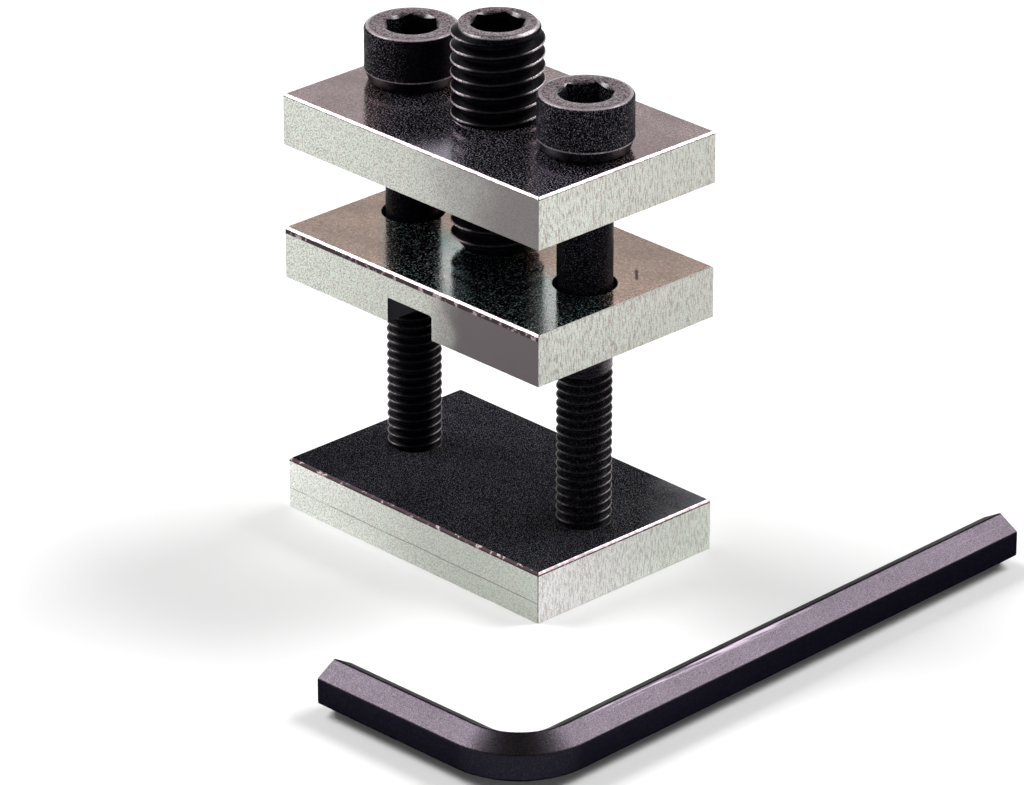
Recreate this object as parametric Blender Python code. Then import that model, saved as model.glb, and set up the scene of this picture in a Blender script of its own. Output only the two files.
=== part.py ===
"""Chain press tool: three plates, two guide cap screws, a press screw and the hex key that drives them.

Units are metres, +Z is up, and the origin is the middle of the base plate's underside. X runs along the
plates' long side. The press plate slides on the cap screws' shanks, and the press screw, in the top plate's
thread, pushes it down. The threads are left as plain cylinders of the screws' outer size.
"""
from math import cos, pi, radians, sin, sqrt

import bmesh
import bpy
from mathutils import Matrix, Vector

MM = 0.001

# Plates
PLATE_LENGTH = 38.5 * MM
PLATE_WIDTH = 25.4 * MM
PLATE_THICKNESS = 5.8 * MM
PLATE_CHAMFER = 0.2 * MM
PRESS_PLATE_BOTTOM = 27.0 * MM
TOP_PLATE_BOTTOM = 42.2 * MM
GROOVE_WIDTH = 6.7 * MM
GROOVE_DEPTH = 2.8 * MM
GROOVE_ROUNDING = 0.4 * MM

# Guide screws: cap head, hexagon socket
SCREW_SPACING = 26 * MM
CAP_THREAD_RADIUS = 3 * MM
CAP_SHANK_LENGTH = 48 * MM
CAP_HEAD_RADIUS = 5.1 * MM
CAP_HEAD_HEIGHT = 6 * MM
CAP_RIM_ROUNDING = 0.5 * MM
CAP_FOOT_HEIGHT = 1.2 * MM
CAP_FOOT_STEP = 0.45 * MM
CAP_TIP_CHAMFER = 0.6 * MM
CAP_SOCKET_DEPTH = 3.2 * MM
LEFT_SOCKET_TURN = radians(20)
RIGHT_SOCKET_TURN = radians(-6)

# Press screw: headless, flat point, hexagon socket
PRESS_THREAD_RADIUS = 5 * MM
PRESS_SCREW_LENGTH = 25 * MM
PRESS_TOP_CHAMFER = 1.0 * MM
PRESS_POINT_RADIUS = 3.5 * MM
PRESS_SOCKET_DEPTH = 6 * MM
PRESS_SOCKET_TURN = radians(2)

# Fits
SEAT_GAP = 0.1 * MM
PRESS_GAP = 0.3 * MM
THREAD_GAP = 0.3 * MM
SLIDING_HOLE_RADIUS = 3.4 * MM
COUNTERSINK = 0.3 * MM

# Hexagon, shared by the key and every socket
KEY_ACROSS_FLATS = 5 * MM
SOCKET_ACROSS_FLATS = 5.2 * MM
SOCKET_COUNTERSINK = 0.35 * MM

# Hex key, lying flat with a corner of its hexagon down
KEY_LONG_ARM = 75.1 * MM
KEY_SHORT_ARM = 29.0 * MM
KEY_BEND_RADIUS = 6.5 * MM
KEY_END_CHAMFER = 0.35 * MM
KEY_CORNER = Vector((44.4 * MM, -39.4 * MM, 0))
KEY_TURN = radians(91.7)

ROUND_STEPS = 40
BEND_STEPS = 8
ROUNDING_STEPS = 3
CUT_MARGIN = 1 * MM
SHARP_ANGLE = radians(28)


def clear_scene():
    for obj in list(bpy.data.objects):
        bpy.data.objects.remove(obj, do_unlink=True)


def metal(name, colour, roughness, metallic=1.0):
    material = bpy.data.materials.new(name)
    material.use_nodes = True
    shader = material.node_tree.nodes["Principled BSDF"]
    shader.inputs["Base Color"].default_value = (*colour, 1)
    shader.inputs["Roughness"].default_value = roughness
    shader.inputs["Metallic"].default_value = metallic
    return material


def mesh_object(name, shape, material=None):
    """An object that holds the bmesh, which is freed."""
    bmesh.ops.recalc_face_normals(shape, faces=shape.faces)
    mesh = bpy.data.meshes.new(name)
    shape.to_mesh(mesh)
    shape.free()
    if material:
        mesh.materials.append(material)
    obj = bpy.data.objects.new(name, mesh)
    bpy.context.scene.collection.objects.link(obj)
    return obj


def ring_solid(name, rings, material=None):
    """A closed solid through rings that hold the same number of points, capped at both ends."""
    shape = bmesh.new()
    loops = [[shape.verts.new(point) for point in ring] for ring in rings]
    for lower, upper in zip(loops, loops[1:]):
        for i in range(len(lower)):
            j = (i + 1) % len(lower)
            shape.faces.new((lower[i], lower[j], upper[j], upper[i]))
    shape.faces.new(reversed(loops[0]))
    shape.faces.new(loops[-1])
    return mesh_object(name, shape, material)


def circle(radius, height, steps=ROUND_STEPS, turn=0.0):
    """A level ring of points round the Z axis."""
    angles = [turn + 2 * pi * i / steps for i in range(steps)]
    return [(radius * cos(a), radius * sin(a), height) for a in angles]


def turned(name, profile, material=None):
    """A solid of revolution about Z from (radius, height) pairs, listed from the bottom up."""
    return ring_solid(name, [circle(r, z) for r, z in profile], material)


def smooth(obj):
    obj.data.shade_smooth()
    obj.data.set_sharp_from_angle(angle=SHARP_ANGLE)


def cut(obj, cutter, place):
    """Takes the cutter, moved to place, away from the object."""
    cutter.location = place
    cutter.hide_render = True
    cutter.display_type = "WIRE"
    boolean = obj.modifiers.new(cutter.name, "BOOLEAN")
    boolean.operation = "DIFFERENCE"
    boolean.solver = "EXACT"
    boolean.object = cutter


def corner_radius(across_flats):
    return across_flats / sqrt(3)


def hole_cutter(name, radius, countersink):
    """A plate-deep round hole, countersunk at both faces, with its lower face at height 0."""
    mouth = radius + countersink
    return turned(name, [
        (mouth + CUT_MARGIN, -CUT_MARGIN),
        (radius, countersink),
        (radius, PLATE_THICKNESS - countersink),
        (mouth + CUT_MARGIN, PLATE_THICKNESS + CUT_MARGIN),
    ])


def socket_cutter(name, depth, turn):
    """A hexagonal socket below height 0, with a conical mouth."""
    radius = corner_radius(SOCKET_ACROSS_FLATS)
    rings = [circle(radius, z, 6, turn) for z in (-depth, CUT_MARGIN)]
    socket = ring_solid(name, rings)
    mouth = turned(name + "_mouth", [
        (radius - SOCKET_COUNTERSINK, -2 * SOCKET_COUNTERSINK),
        (radius + CUT_MARGIN, CUT_MARGIN - SOCKET_COUNTERSINK),
    ])
    return socket, mouth


def cut_socket(obj, depth, turn, top):
    for cutter in socket_cutter(obj.name + "_socket", depth, turn):
        cut(obj, cutter, obj.location + Vector((0, 0, top)))


def plate(name, bottom, material):
    """A chamfered rectangular plate with its underside at the given height."""
    shape = bmesh.new()
    size = Matrix.Diagonal((PLATE_LENGTH, PLATE_WIDTH, PLATE_THICKNESS, 1))
    bmesh.ops.create_cube(shape, size=1, matrix=Matrix.Translation((0, 0, PLATE_THICKNESS / 2)) @ size)
    bmesh.ops.bevel(shape, geom=shape.edges[:], offset=PLATE_CHAMFER, segments=1, affect="EDGES")
    obj = mesh_object(name, shape, material)
    obj.location.z = bottom
    return obj


def cut_screw_holes(obj, radius):
    for side in (-1, 1):
        cutter = hole_cutter(f"{obj.name}_hole_{side}", radius, COUNTERSINK)
        cut(obj, cutter, obj.location + Vector((side * SCREW_SPACING / 2, 0, 0)))


def base_plate(material):
    obj = plate("base_plate", 0, material)
    cut_screw_holes(obj, CAP_THREAD_RADIUS + THREAD_GAP)


def groove_cutter():
    """A bar along Y, with its upper edges rounded, that cuts the press plate's underside."""
    half = GROOVE_WIDTH / 2
    outline = [(-half, -CUT_MARGIN), (half, -CUT_MARGIN)]
    for side, start in ((1, 0), (-1, pi / 2)):
        for i in range(ROUNDING_STEPS + 1):
            angle = start + i * pi / 2 / ROUNDING_STEPS
            x = side * (half - GROOVE_ROUNDING) + GROOVE_ROUNDING * cos(angle)
            outline.append((x, GROOVE_DEPTH - GROOVE_ROUNDING + GROOVE_ROUNDING * sin(angle)))
    reach = PLATE_WIDTH / 2 + CUT_MARGIN
    return ring_solid("groove", [[(x, y, z) for x, z in outline] for y in (-reach, reach)])


def press_plate(material):
    obj = plate("press_plate", PRESS_PLATE_BOTTOM, material)
    cut_screw_holes(obj, SLIDING_HOLE_RADIUS)
    cut(obj, groove_cutter(), obj.location)


def top_plate(material):
    obj = plate("top_plate", TOP_PLATE_BOTTOM, material)
    cut_screw_holes(obj, CAP_THREAD_RADIUS + THREAD_GAP)
    centre = hole_cutter("top_plate_centre", PRESS_THREAD_RADIUS + THREAD_GAP, COUNTERSINK)
    cut(obj, centre, obj.location)


def rounded_rim(radius, top, rounding):
    """The profile points of a convex quarter round that ends at the top face."""
    angles = [i * pi / 2 / ROUNDING_STEPS for i in range(ROUNDING_STEPS + 1)]
    return [(radius - rounding * (1 - cos(a)), top - rounding * (1 - sin(a))) for a in angles]


def cap_screw(name, side, socket_turn, material):
    """A guide screw with its origin on its axis, at its head's bearing face."""
    foot = CAP_HEAD_RADIUS - CAP_FOOT_STEP
    obj = turned(name, [
        (CAP_THREAD_RADIUS - CAP_TIP_CHAMFER, -CAP_SHANK_LENGTH),
        (CAP_THREAD_RADIUS, -CAP_SHANK_LENGTH + CAP_TIP_CHAMFER),
        (CAP_THREAD_RADIUS, 0),
        (foot, 0),
        (CAP_HEAD_RADIUS, CAP_FOOT_HEIGHT),
        *rounded_rim(CAP_HEAD_RADIUS, CAP_HEAD_HEIGHT, CAP_RIM_ROUNDING),
    ], material)
    seat = TOP_PLATE_BOTTOM + PLATE_THICKNESS + SEAT_GAP
    obj.location = (side * SCREW_SPACING / 2, 0, seat)
    cut_socket(obj, CAP_SOCKET_DEPTH, socket_turn, CAP_HEAD_HEIGHT)
    smooth(obj)


def press_screw(material):
    """The press screw, with its origin on its axis at its point."""
    point_height = PRESS_THREAD_RADIUS - PRESS_POINT_RADIUS
    obj = turned("press_screw", [
        (PRESS_POINT_RADIUS, 0),
        (PRESS_THREAD_RADIUS, point_height),
        (PRESS_THREAD_RADIUS, PRESS_SCREW_LENGTH - PRESS_TOP_CHAMFER),
        (PRESS_THREAD_RADIUS - PRESS_TOP_CHAMFER, PRESS_SCREW_LENGTH),
    ], material)
    obj.location.z = PRESS_PLATE_BOTTOM + PLATE_THICKNESS + PRESS_GAP
    cut_socket(obj, PRESS_SOCKET_DEPTH, PRESS_SOCKET_TURN, PRESS_SCREW_LENGTH)
    smooth(obj)


def key_path():
    """(centre, direction, size factor) along the key's axis, from the short arm's end to the long arm's."""
    half = KEY_ACROSS_FLATS / 2
    chamfered = 1 - KEY_END_CHAMFER / half
    short_end, long_end = half - KEY_SHORT_ARM, KEY_LONG_ARM - half
    along_x, along_y = Vector((1, 0, 0)), Vector((0, 1, 0))
    stations = [
        (along_x * short_end, along_x, chamfered),
        (along_x * (short_end + KEY_END_CHAMFER), along_x, 1),
    ]
    for i in range(BEND_STEPS + 1):
        a = i * pi / 2 / BEND_STEPS
        centre = Vector((KEY_BEND_RADIUS * (sin(a) - 1), KEY_BEND_RADIUS * (1 - cos(a)), 0))
        stations.append((centre, Vector((cos(a), sin(a), 0)), 1))
    stations += [
        (along_y * (long_end - KEY_END_CHAMFER), along_y, 1),
        (along_y * long_end, along_y, chamfered),
    ]
    return stations


def hex_key(material):
    """The L-shaped key, with its origin where its arms' axes would cross, on the surface it lies on."""
    radius = corner_radius(KEY_ACROSS_FLATS)
    rings = []
    for centre, along, factor in key_path():
        across = along.cross(Vector((0, 0, 1)))
        rings.append([
            centre + Vector((0, 0, radius)) + across * x * factor + Vector((0, 0, y)) * factor
            for x, y, _ in circle(radius, 0, 6, pi / 2)
        ])
    obj = ring_solid("hex_key", rings, material)
    obj.location = KEY_CORNER
    obj.rotation_euler.z = KEY_TURN - pi / 2


def main():
    clear_scene()
    bright = metal("bright_steel", (0.62, 0.62, 0.59), 0.28)
    black = metal("black_oxide", (0.035, 0.033, 0.035), 0.38)
    key_black = metal("key_black", (0.07, 0.06, 0.075), 0.42)
    base_plate(bright)
    press_plate(bright)
    top_plate(bright)
    cap_screw("left_cap_screw", -1, LEFT_SOCKET_TURN, black)
    cap_screw("right_cap_screw", 1, RIGHT_SOCKET_TURN, black)
    press_screw(black)
    hex_key(key_black)


main()
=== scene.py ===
"""Chain press tool: fine meshes, procedural finishes, studio and camera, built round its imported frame.

Three steel plates stand on two socket cap screws, a press screw runs through the top one, and a hex key
lies beside them. Lengths are in metres, +Z is up, and every place comes from the frame's own boxes.
"""
from math import ceil, cos, floor, pi, radians, sin

import bmesh
import bpy
from bpy.props import FloatProperty, FloatVectorProperty, IntProperty, PointerProperty
from bpy.types import Operator, Panel, PropertyGroup
from mathutils import Matrix, Vector


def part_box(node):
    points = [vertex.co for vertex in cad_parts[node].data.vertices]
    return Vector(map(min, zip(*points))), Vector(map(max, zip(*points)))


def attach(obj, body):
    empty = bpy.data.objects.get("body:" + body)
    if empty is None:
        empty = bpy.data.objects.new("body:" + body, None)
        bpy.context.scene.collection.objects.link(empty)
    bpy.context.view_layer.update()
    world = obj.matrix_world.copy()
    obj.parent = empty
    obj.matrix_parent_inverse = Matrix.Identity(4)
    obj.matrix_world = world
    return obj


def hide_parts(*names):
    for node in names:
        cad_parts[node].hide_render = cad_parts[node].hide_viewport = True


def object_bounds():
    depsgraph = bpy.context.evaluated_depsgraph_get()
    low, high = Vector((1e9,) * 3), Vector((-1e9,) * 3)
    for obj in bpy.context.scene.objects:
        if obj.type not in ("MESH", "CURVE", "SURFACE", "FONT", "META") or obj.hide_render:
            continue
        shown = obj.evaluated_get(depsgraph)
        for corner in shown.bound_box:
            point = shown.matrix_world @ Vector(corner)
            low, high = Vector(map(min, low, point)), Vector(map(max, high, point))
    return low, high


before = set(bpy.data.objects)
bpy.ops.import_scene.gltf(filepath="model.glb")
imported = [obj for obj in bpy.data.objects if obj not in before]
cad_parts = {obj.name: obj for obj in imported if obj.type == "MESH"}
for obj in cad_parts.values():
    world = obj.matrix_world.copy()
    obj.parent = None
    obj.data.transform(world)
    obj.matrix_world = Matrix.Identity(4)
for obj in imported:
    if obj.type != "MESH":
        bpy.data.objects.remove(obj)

bl_info = {
    "name": "Chain press tool",
    "version": (1, 0, 0),
    "blender": (4, 5, 0),
    "location": "3D View > Sidebar > Chain press",
    "description": "Builds a three-plate roller chain press tool with its hex key and a studio round it",
    "category": "Add Mesh",
}

MM = 0.001
PER_MM = 1 / MM
CAD_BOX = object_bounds()
TURN = 2 * pi

# Mesh fineness
THREAD_COLUMNS = 72
PRESS_COLUMNS = 96
HOLE_COLUMNS = 96
BEND_STEPS = 24
GROOVE_STEPS = 6
CORNER_STEPS = 4
ROUNDING_STEPS = 5
CUT_MARGIN = 1 * MM
MERGE = 0.002 * MM

# Faces that meet at more than this keep a sharp edge
SHARP_ANGLE = radians(32)

# Bearing of the line of sight, along which the finishes run
SIGHT = radians(46)

# How far a socket's countersunk mouth falls for each millimetre inwards
MOUTH_SLOPE = 0.6

# Bearings of the softboxes, and their height above the horizon
SOFTBOXES = {"left_softbox": radians(-69), "right_softbox": radians(159)}
SOFTBOX_ELEVATION = radians(46)

# Millimetres between which a finish comes in: the painted reflection tint, off its middle and from the back,
# the base face's darkening, the painted light across the cap screws' heads, and the key ridge's painted
# highlight
REFLECTION_EDGE = (13, 10)
REFLECTION_BACK = (1, -3)
DARKENING_EDGE = (16, 6)
PAINTED_LIGHT_ACROSS = {"left": (0, -3), "right": (-20, -10)}
RIDGE_HIGHLIGHT = ((8, 14), (46, 32))

# A thread's outline, half and whole: (share of a turn up from the root's middle, share of the depth)
HALF_THREAD = ((0, 0), (0.10, 0.03), (0.16, 0.13), (0.41, 0.88), (0.455, 0.98), (0.5, 1))
THREAD = [*HALF_THREAD, *((1 - along, depth) for along, depth in reversed(HALF_THREAD[1:-1]))]


def length(name, description, millimetres):
    default = millimetres * MM
    return FloatProperty(name=name, description=description, default=default, unit="LENGTH", precision=5)


def angle(name, description, default):
    return FloatProperty(name=name, description=description, default=radians(default), unit="ROTATION")


def share(name, description, default):
    return FloatProperty(name=name, description=description, default=default, min=0, subtype="FACTOR")


def colour(name, description, default):
    return FloatVectorProperty(
        name=name, description=description, default=default, min=0, max=1, size=3, subtype="COLOR"
    )


class PlateSettings(PropertyGroup):
    edge_chamfer: length("Edge chamfer", "Taken off the upper edges", 0.22)
    lower_chamfer: length("Lower chamfer", "Taken off the lower edges", 0.06)
    corner_rounding: length("Corner rounding", "Radius of the upright edges", 0.12)
    sliding_hole: length("Sliding hole", "Radius of the holes that slide", 3.36)
    clear_hole: length("Clearance hole", "Radius of the top plate's holes", 3.2)
    hole_chamfer: length("Hole chamfer", "Depth of each countersink", 0.08)
    groove_width: length("Groove width", "Width of the pin's groove", 6.7)
    groove_depth: length("Groove depth", "Depth of the pin's groove", 2.8)
    groove_rounding: length("Groove rounding", "Radius in the groove's corners", 0.3)
    top_colour: colour("Top plate's face", "Its ground face", (0.70, 0.55, 0.56))
    middle_colour: colour("Middle plate's face", "Its ground face", (0.84, 0.62, 0.52))
    # Painted reflection: the cool tints are laid where the screws are reflected, in the plates' front halves
    top_reflection_tint: colour("Top plate's sheen", "Cool sheen of its front half", (0.60, 0.57, 0.68))
    middle_reflection_tint: colour("Middle plate's sheen", "Cool sheen of its front half", (0.38, 0.58, 0.57))
    base_colour: colour("Base plate's face", "Its ground face", (0.30, 0.30, 0.33))
    side_colour: colour("Long side", "Satin long sides", (0.53, 0.59, 0.52))
    end_colour: colour("End", "Sawn ends", (0.60, 0.65, 0.59))
    edge_colour: colour("Edge", "Deburred edges", (0.42, 0.33, 0.345))
    # Painted shade: the dark line under an edge; the same colour marks the middle plate's nick
    edge_shade_and_nick_colour: colour("Burr", "Dark line under an edge", (0.045, 0.03, 0.034))
    speck_colour: colour("Specks", "Dark specks on sides and ends", (0.25, 0.215, 0.20))
    pink_colour: colour("Pink specks", "Pale specks on the long sides", (0.82, 0.70, 0.73))
    streak_colour: colour("Streaks", "Pale streaks on the ends", (0.70, 0.60, 0.56))
    # Painted dark reflection towards the +X end of the long sides; the same colour draws the base's scribed
    # line
    reflection_and_scribe_colour: colour("Stain", "Handling marks", (0.115, 0.098, 0.103))
    # The near black to which the base plate's face is darkened
    darkening_colour: colour("Oil", "Oil film on the base plate", (0.0018, 0.0018, 0.004))
    # Painted shade: walls of holes and groove are painted near black
    shaded_bore_colour: colour("Bore", "Walls of holes and groove", (0.02, 0.02, 0.023))


class ScrewSettings(PropertyGroup):
    cap_pitch: length("Cap screw pitch", "Rise in a turn", 1)
    cap_thread: length("Cap thread length", "Threaded part of a cap screw", 24)
    cap_major: length("Cap thread radius", "Outer radius of the thread", 2.96)
    cap_minor: length("Cap root radius", "Root radius of the thread", 2.40)
    head_height: length("Head height", "Height of a head", 6)
    foot_height: length("Foot height", "Height of the tapered foot", 1.2)
    foot_step: length("Foot step", "How far the foot tapers in", 0.45)
    rim_rounding: length("Rim rounding", "Radius of the head's upper rim", 0.5)
    knurls: IntProperty(name="Knurls", description="Knurls round a head", default=84, min=12)
    knurl_depth: length("Knurl depth", "Depth of the knurls", 0.05)
    press_pitch: length("Press screw pitch", "Rise in a turn", 1.5)
    press_major: length("Press thread radius", "Outer radius of the thread", 4.96)
    press_minor: length("Press root radius", "Root radius of the thread", 4.08)
    press_point: length("Press point", "Radius of the flat point", 3.5)
    press_top: length("Press top", "Radius of the flat top", 4.1)
    press_phase: share("Press phase", "Share of a turn by which it is advanced", 0.9)
    thread_fit: length("Thread fit", "Room in a tapped hole", 0.06)
    socket_flats: length("Socket", "Across a socket's flats", 5.25)
    socket_mouth: length("Socket mouth", "Radius of the countersunk mouth", 3.06)
    cap_socket: length("Cap socket depth", "Depth of a cap screw's socket", 3.2)
    press_socket: length("Press socket depth", "Depth of its socket", 6)
    left_turn: angle("Left socket turn", "Turn of its hexagon", 20)
    right_turn: angle("Right socket turn", "Turn of its hexagon", -6)
    press_turn: angle("Press socket turn", "Turn of its hexagon", 2)
    oxide_colour: colour("Black oxide", "Sides of the screws", (0.0008, 0.0007, 0.0018))
    # Flat tops: dust and painted light, lighter than the oxide
    lit_dusty_colour: colour("Dusty oxide", "Faces that look up", (0.125, 0.098, 0.108))
    # Dust specks, laid thicker on a cap head's lit side as painted light
    powder_and_light_colour: colour("Powder", "Specks of dust on the sides", (0.16, 0.15, 0.18))
    # Worn rims, and painted highlights on the thread crests and on a ring under a head's knurls
    wear_and_highlight_colour: colour("Worn oxide", "Rims and thread crests", (0.44, 0.38, 0.40))


class KeySettings(PropertyGroup):
    long_arm: length("Long arm", "Its outer length", 75.05)
    short_arm: length("Short arm", "Its outer length", 28.9)
    flats: length("Across flats", "Across the key's flats", 4.8)
    bend_radius: length("Bend radius", "Radius of the bend's middle line", 6.5)
    corner_rounding: length("Corner rounding", "Radius of the hexagon's corners", 0.3)
    end_chamfer: length("End chamfer", "Taken off the ends' edges", 0.35)
    turn: angle("Turn", "Turn of the key on the table", 1.7)
    # Painted light and shade: the key's faces that look up take the lit colour, the others the shaded one
    lit_upper_colour: colour("Upper faces", "Faces that look up", (0.050, 0.0415, 0.050))
    shaded_lower_colour: colour("Lower faces", "Faces that don't look up", (0.011, 0.011, 0.017))


class StageSettings(PropertyGroup):
    azimuth: angle("Azimuth", "Bearing of the camera", 46.2014)
    elevation: angle("Elevation", "Camera above the horizon", 25.0668)
    distance: length("Distance", "From the camera to its target", 640)
    lens: FloatProperty(name="Lens", description="Focal length in millimetres", default=218.291)
    target: FloatVectorProperty(
        name="Target", description="Point that the camera looks at", size=3, subtype="TRANSLATION",
        default=(12.371 * MM, -9.832 * MM, 23.242 * MM),
    )
    softbox: length("Softbox", "Side of the square softboxes", 1000)
    softbox_distance: length("Softbox distance", "From a softbox to the tool", 1800)
    softbox_power: FloatProperty(name="Power", description="Power of each softbox", default=30, unit="POWER")
    floor_colour: colour("Floor", "Pale table top", (0.94, 0.94, 0.94))
    floor_radius: length("Floor radius", "Size of the table top", 1400)
    horizon: share("Horizon light", "Light near the horizon", 0.95)
    room: share("Room light", "Light half way up", 0.52)
    ceiling: share("Ceiling light", "Light overhead", 0.06)


class Socket:
    """A node's output. Python's operators carry on from it, and each one adds a Math node."""

    def __init__(self, finish, output):
        self.finish = finish
        self.output = output

    def maths(self, operation, first, second):
        return self.finish.node("ShaderNodeMath", {"operation": operation}, {0: first, 1: second})

    def __add__(self, other):
        return self.maths("ADD", self, other)

    def __sub__(self, other):
        return self.maths("SUBTRACT", self, other)

    def __mul__(self, other):
        return self.maths("MULTIPLY", self, other)

    def __rsub__(self, other):
        return self.maths("SUBTRACT", other, self)

    __radd__ = __add__
    __rmul__ = __mul__


class NodeTree:
    """A node tree that is written as Python expressions."""

    def __init__(self, tree):
        self.tree = tree

    def node(self, kind, settings=None, sockets=None, out=0):
        """Adds a node, sets its settings, then its sockets' values or links, and gives one of its outputs."""
        made = self.tree.nodes.new(kind)
        for name, value in (settings or {}).items():
            if name == "stops":
                self.set_stops(made.color_ramp, value)
            else:
                setattr(made, name, value)
        for key, value in (sockets or {}).items():
            self.feed(made.inputs[key], value)
        return Socket(self, made.outputs[out])

    def feed(self, socket, value):
        if isinstance(value, Socket):
            self.tree.links.new(value.output, socket)
        else:
            socket.default_value = value

    def set_stops(self, ramp, stops):
        while len(ramp.elements) < len(stops):
            ramp.elements.new(1)
        for element, (place, shade) in zip(ramp.elements, stops):
            element.position = place
            element.color = shade

    def step(self, value, low, high):
        """0 below low, 1 above high, and smooth between them. High may be the lower one."""
        limits = {"Value": value, "From Min": low, "From Max": high}
        return self.node("ShaderNodeMapRange", {"interpolation_type": "SMOOTHSTEP"}, limits, "Result")

    def mix(self, factor, first, second):
        """Goes from the first colour to the second. 6, 7 and 2 are the node's colour sockets."""
        return self.node("ShaderNodeMix", {"data_type": "RGBA"}, {0: factor, 6: first, 7: second}, 2)

    def over(self, tone, factor, shade, brightness=1.0):
        """A tone with so much of a colour laid over it."""
        return self.mix(factor, tone, opaque(shade, brightness))

    def split(self, vector):
        """The x, y and z of a vector."""
        parts = self.node("ShaderNodeSeparateXYZ", None, {0: vector})
        return [Socket(self, output) for output in parts.output.node.outputs]


class Finish(NodeTree):
    """A procedural material round one Principled shader. Its patterns are in the piece's own millimetres."""

    def __init__(self, name):
        self.material = bpy.data.materials.new(name)
        self.material.use_nodes = True
        super().__init__(self.material.node_tree)
        self.shader = self.tree.nodes["Principled BSDF"]
        place = self.node("ShaderNodeTexCoord", out="Object")
        self.millimetres = self.scaled(place, (PER_MM,) * 3)

    def surface(self, **sockets):
        """Sets the shader's sockets: Base_Color is the one named Base Color."""
        for name, value in sockets.items():
            self.feed(self.shader.inputs[name.replace("_", " ")], value)
        return self.material

    def rotated(self, turn):
        """The piece's millimetres turned about Z."""
        sockets = {0: self.millimetres, "Angle": turn}
        return self.node("ShaderNodeVectorRotate", {"rotation_type": "Z_AXIS"}, sockets)

    def scaled(self, vector, factors):
        return self.node("ShaderNodeVectorMath", {"operation": "MULTIPLY"}, {0: vector, 1: factors})

    def noise(self, factors, detail=2.0, turn=0.0, rough=0.5):
        """Noise with so many features to the millimetre, or along each axis, turned about Z."""
        vector = self.rotated(turn) if turn else self.millimetres
        factors = factors if isinstance(factors, tuple) else (factors,) * 3
        sockets = {"Vector": self.scaled(vector, factors), "Scale": 1, "Detail": detail, "Roughness": rough}
        return self.node("ShaderNodeTexNoise", None, sockets, "Fac")

    def upward(self):
        """How far the surface looks up, from -1 to 1."""
        return self.split(self.node("ShaderNodeTexCoord", out="Normal"))[2]

    def from_axis(self):
        """Distance from the piece's Z axis, in millimetres."""
        flat = self.scaled(self.millimetres, (1, 1, 0))
        return self.node("ShaderNodeVectorMath", {"operation": "LENGTH"}, {0: flat}, "Value")

    def off(self, value, middle):
        """How far a value is from another one."""
        return self.node("ShaderNodeMath", {"operation": "ABSOLUTE"}, {0: value - middle})

    def bump(self, height, depth):
        """A relief of so many metres for heights from 0 to 1."""
        return self.node("ShaderNodeBump", None, {"Height": height, "Distance": depth})


def opaque(shade, brightness=1.0):
    """A colour with alpha, made brighter or darker."""
    return (*(min(1.0, part * brightness) for part in shade), 1)


def ground_face(name, settings, look):
    """Half-mirror ground steel with rough specks, faint blotches and hair scratches.

    look holds face, its colour, and sparkle, how rare the specks are. It may hold a cool tint of painted
    reflection for its front half, in a band behind the screws, a strength to which the face is darkened
    towards near black everywhere but towards the +X corner, and tick, the place in millimetres of a small
    dark nick across and along SIGHT.
    """
    finish = Finish(name)
    shade, sparkle = look["face"], look["sparkle"]
    grain = finish.noise(5.5, 2, rough=0.6)
    fine = finish.noise(9, 1)
    blotch = finish.noise(0.16, 3)
    speck = finish.step(grain, sparkle, sparkle + 0.09)
    across, along, _ = finish.split(finish.rotated(-SIGHT))
    first, second, third = (
        finish.step(finish.noise((0.12, 8, 1), 1, turn), 0.66, 0.72) for turn in (0.35, 1.9, 2.6)
    )
    mottle = finish.noise(2.6, 2)
    clouds = finish.step(0.5 * blotch + 0.5 * mottle, 0.40, 0.60)
    tone = finish.mix(clouds, opaque(shade, 0.82), opaque(shade, 1.16))
    # Painted reflection: a cool tint in a band behind the screws, along the line of sight, in the front half
    if "reflection_tint" in look:
        back = finish.split(finish.millimetres)[1]
        reflection_band = finish.step(finish.off(across + blotch * 2, 1), *REFLECTION_EDGE)
        tone = finish.over(tone, reflection_band * finish.step(back, *REFLECTION_BACK), look["reflection_tint"])
    tone = finish.over(tone, finish.step(grain, 0.50, 0.36) * 0.4, shade, 0.45)
    tone = finish.over(tone, finish.step(fine, 0.56, 0.72) * 0.6, shade, 1.45)
    tone = finish.over(tone, (first + second + third) * 0.35, shade, 1.4)
    metal = 1.0
    # Darkens the face towards near black, everywhere but towards the +X corner
    if "darkened" in look:
        x, y, _ = finish.split(finish.millimetres)
        reach = (x - 15) * 0.7 + (y - 3) * 0.7 + blotch * 8
        bare = finish.step(fine, 0.56, 0.64) * (0.35 + 0.5 * finish.step(reach, -2, 9))
        darkening = (1 - bare) * finish.step(reach, *DARKENING_EDGE) * look["darkened"]
        tone = finish.over(tone, darkening, settings.darkening_colour)
        metal = 1 - darkening
    if "tick" in look:
        nick = finish.step(finish.off(across, look["tick"][0]), 0.24, 0.08)
        nick = nick * finish.step(finish.off(along, look["tick"][1]), 1.6, 0.9)
        tone = finish.over(tone, nick * 0.9, settings.edge_shade_and_nick_colour)
    return finish.surface(
        Base_Color=tone, Metallic=metal, Specular_IOR_Level=0, Normal=finish.bump(grain, 0.008 * MM),
        Roughness=0.07 + 0.05 * blotch + 0.40 * speck,
    )


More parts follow.
